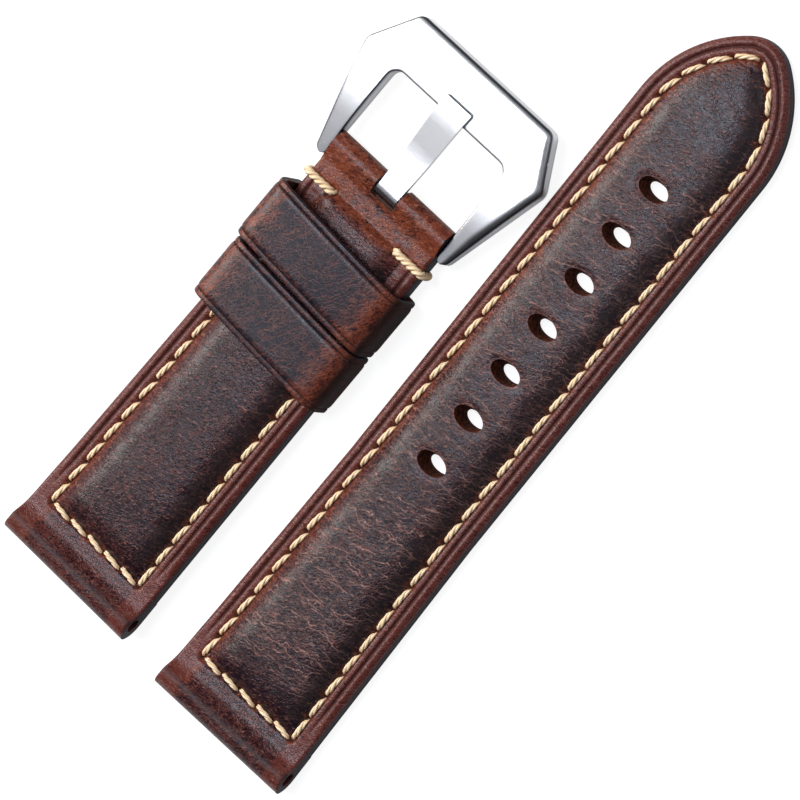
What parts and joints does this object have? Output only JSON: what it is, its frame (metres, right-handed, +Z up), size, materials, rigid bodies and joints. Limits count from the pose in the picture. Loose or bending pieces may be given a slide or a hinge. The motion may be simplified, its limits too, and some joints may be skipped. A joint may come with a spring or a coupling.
{
  "type": "watch strap",
  "caption": "Two-piece padded leather watch strap with contrast stitching, oval holes, steel pin buckle on a sprung bar, one fixed and one sliding keeper.",
  "frame": {"origin": "middle of the footprint of both halves as they lie, on the ground", "axes": "+X along the long half from its lug end to its pointed tip, +Y from the long half to the short half, +Z up through the leather"},
  "size_m": [0.125, 0.0578, 0.01],
  "materials": {
    "face_leather": "dark waxed pull-up leather, satin",
    "lining_leather": "smooth matt lining leather",
    "filler": "bonded leather board",
    "thread": "twisted waxed thread",
    "steel": "fine brushed stainless steel",
    "spring_steel": "drawn spring wire"
  },
  "bodies": {
    "short_strap": {"short_face_leather": "face_leather", "short_padding": "filler", "short_lining": "lining_leather", "short_seam_thread": "thread", "short_bobbin_thread": "thread", "tack_stitch_left": "thread", "tack_stitch_right": "thread", "fixed_keeper": "face_leather", "fixed_keeper_stitch": "thread", "spring_bar_tube": "steel", "spring_bar_spring": "spring_steel"},
    "free_keeper": {"free_keeper": "face_leather", "free_keeper_stitch": "thread"},
    "buckle": {"buckle_frame": "steel"},
    "tang": {"buckle_tang": "steel"},
    "bar_tip_left": {"spring_bar_tip_left": "steel"},
    "bar_tip_right": {"spring_bar_tip_right": "steel"},
    "long_strap": {"long_face_leather": "face_leather", "long_padding": "filler", "long_lining": "lining_leather", "long_seam_thread": "thread", "long_bobbin_thread": "thread"}
  },
  "joints": [
    {"name": "free_keeper_slide", "type": "slide", "parent": "short_strap", "child": "free_keeper", "axis": [-0.9996, 0.0279, 0], "range_m": [0, 0.012]},
    {"name": "buckle_hinge", "type": "hinge", "parent": "short_strap", "child": "buckle", "pos_m": [0.01232, 0.01243, 0.00327], "axis": [-0.0279, -0.9996, 0], "range_deg": [-75, 20]},
    {"name": "tang_hinge", "type": "hinge", "parent": "buckle", "child": "tang", "pos_m": [0.01232, 0.01243, 0.00327], "axis": [-0.0279, -0.9996, 0], "range_deg": [0, 65]},
    {"name": "bar_tip_left_slide", "type": "slide", "parent": "short_strap", "child": "bar_tip_left", "axis": [-0.0279, -0.9996, 0], "range_m": [0, 0.0011], "stiffness_N_per_m": 400, "springref_m": -0.0015, "deforming": ["spring_bar_spring"]},
    {"name": "bar_tip_right_slide", "type": "slide", "parent": "short_strap", "child": "bar_tip_right", "axis": [0.0279, 0.9996, 0], "range_m": [0, 0.0011], "stiffness_N_per_m": 400, "springref_m": -0.0015, "deforming": ["spring_bar_spring"]},
    {"name": "long_strap_lift", "type": "slide", "parent": "short_strap", "child": "long_strap", "axis": [0, 0, 1], "range_m": [0, 0.03]}
  ]
}
